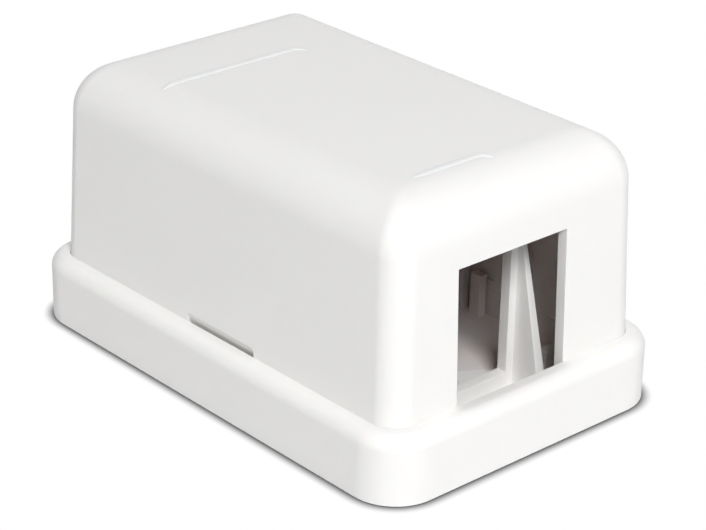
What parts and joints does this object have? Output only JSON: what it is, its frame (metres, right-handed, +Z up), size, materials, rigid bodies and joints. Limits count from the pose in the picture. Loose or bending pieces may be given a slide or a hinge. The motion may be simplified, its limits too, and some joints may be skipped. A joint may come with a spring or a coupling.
{
  "type": "surface mount jack box",
  "caption": "Small white plastic box that holds a snap-in network jack on a wall or desk: a tray base with a jack frame and a clip-on cover.",
  "frame": {"origin": "middle of the base's flat underside", "axes": "+X towards the jack opening, +Y to the left seen from behind the box looking at +X, +Z up out of the underside"},
  "size_m": [0.066, 0.0434, 0.0337],
  "materials": {
    "base_plastic": "white moulded plastic, fine satin surface",
    "cover_plastic": "white moulded plastic, fine satin surface"
  },
  "bodies": {
    "base": {"base": "base_plastic"},
    "cover": {"cover": "cover_plastic"}
  },
  "joints": [
    {"name": "cover_lift", "type": "slide", "parent": "base", "child": "cover", "axis": [0, 0, 1], "range_m": [0, 0.03]}
  ]
}
